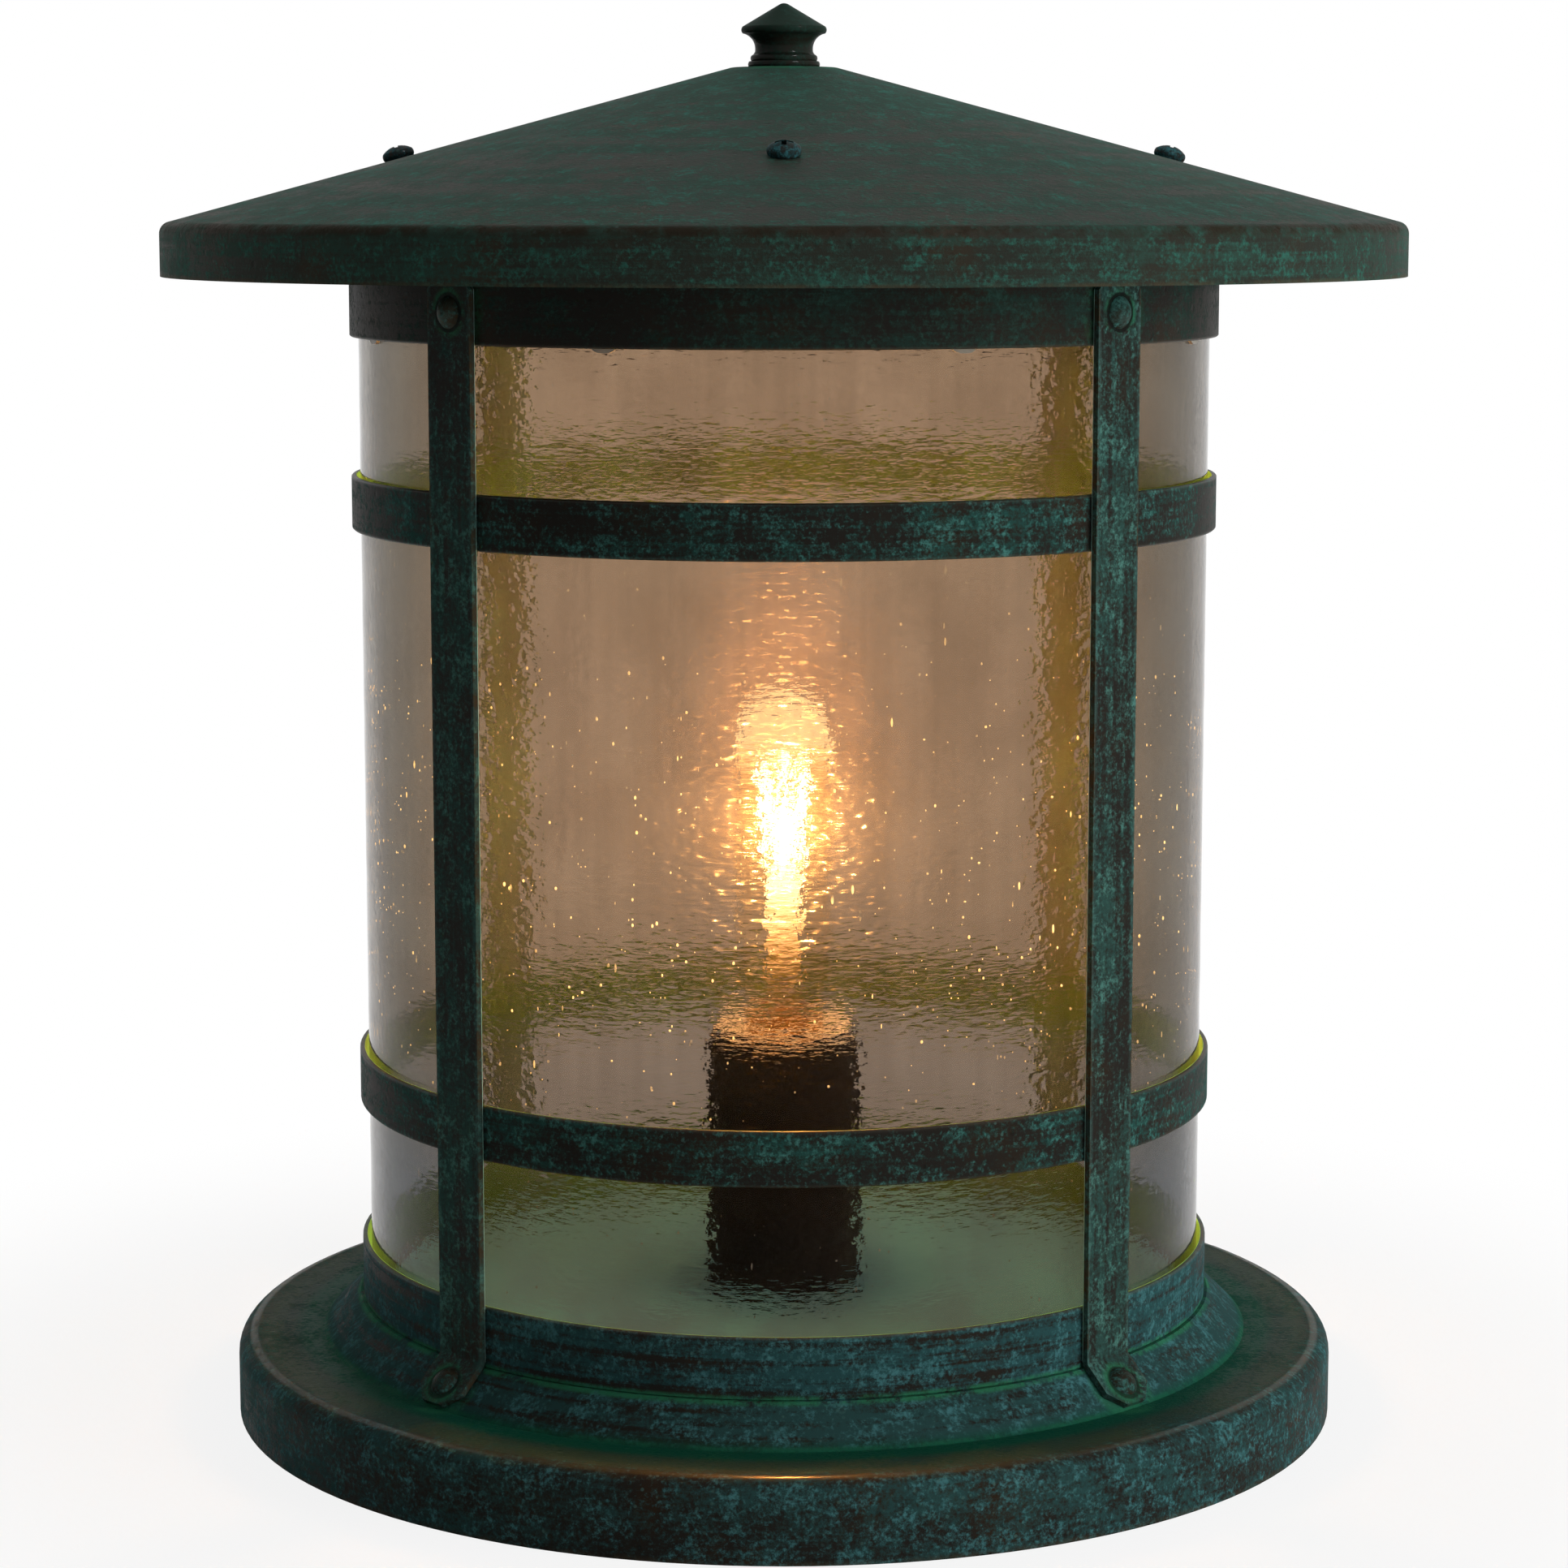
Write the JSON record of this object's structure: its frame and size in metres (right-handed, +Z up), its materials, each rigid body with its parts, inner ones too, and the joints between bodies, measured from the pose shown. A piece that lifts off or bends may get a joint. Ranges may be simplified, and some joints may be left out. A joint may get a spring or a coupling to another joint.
{
  "type": "column mount light",
  "caption": "Round column-mount lantern with a cone roof that lifts off, a seedy glass cylinder in a riveted strap cage, a spun base and a screw-in lamp.",
  "frame": {"origin": "centre of the base's lower rim, on the face that stands on the column", "axes": "+Z up along the lantern's axis, -Y to the front, with the straps at 45 degrees to X and Y"},
  "size_m": [0.406, 0.406, 0.4654],
  "materials": {
    "verdigris": "dark verdigris patina",
    "dark_bronze": "dark bronze patina",
    "seedy_glass": "clear, seeded",
    "clear_pad": "clear silicone",
    "cushion": "matt",
    "black_cup": "satin",
    "porcelain": "glazed",
    "bright_brass": "bright",
    "zinc_steel": "zinc plated",
    "green_screw": "satin",
    "lamp_glass": "clear",
    "black_glass": "gloss",
    "solder": "dull",
    "filament": "glowing",
    "lamp_wire": "bright wire"
  },
  "bodies": {
    "frame": {"base_pan": "verdigris", "gallery_ring": "verdigris", "hoop_lower": "verdigris", "hoop_upper": "verdigris", "upper_band": "verdigris", "strap_front_right": "verdigris", "strap_back_right": "verdigris", "strap_back_left": "verdigris", "strap_front_left": "verdigris", "strap_top_rivets": "dark_bronze", "strap_foot_rivets": "dark_bronze", "glass_cylinder": "seedy_glass", "glass_pads": "clear_pad", "glass_gasket": "cushion", "socket_cup": "black_cup", "socket_body": "porcelain", "socket_shell": "bright_brass", "socket_contact": "bright_brass", "nipple": "bright_brass", "socket_cap": "zinc_steel", "socket_screws": "zinc_steel", "nipple_locknuts": "zinc_steel", "nipple_washers": "zinc_steel", "crossbar": "zinc_steel", "ground_screw": "green_screw"},
    "roof": {"roof": "verdigris", "finial": "dark_bronze", "finial_stud": "zinc_steel", "finial_washer": "zinc_steel", "finial_nut": "zinc_steel", "roof_bracket_front": "zinc_steel", "roof_bracket_right": "zinc_steel", "roof_bracket_back": "zinc_steel", "roof_bracket_left": "zinc_steel", "roof_screws": "dark_bronze", "roof_screw_nuts": "zinc_steel"},
    "lamp_tip": {"lamp_contact": "solder", "lamp_insulator": "black_glass"},
    "lamp": {"lamp_envelope": "lamp_glass", "lamp_shell": "bright_brass", "lamp_stem": "lamp_glass", "lamp_filament": "filament", "lamp_hooks": "lamp_wire", "lamp_leads": "lamp_wire"}
  },
  "joints": [
    {"name": "roof_lift", "type": "slide", "parent": "frame", "child": "roof", "axis": [0, 0, 1], "range_m": [0, 0.15]},
    {"name": "lamp_rise", "type": "slide", "parent": "frame", "child": "lamp_tip", "axis": [0, 0, 1], "range_m": [0, 0.01453]},
    {"name": "lamp_turn", "type": "hinge", "parent": "lamp_tip", "child": "lamp", "pos_m": [0, 0, 0.11], "axis": [0, 0, 1], "range_deg": [0, 1440]}
  ],
  "couplings": [
    {"joint": "lamp_rise", "follows": "lamp_turn", "m_per_rad": 0.00057773}
  ]
}
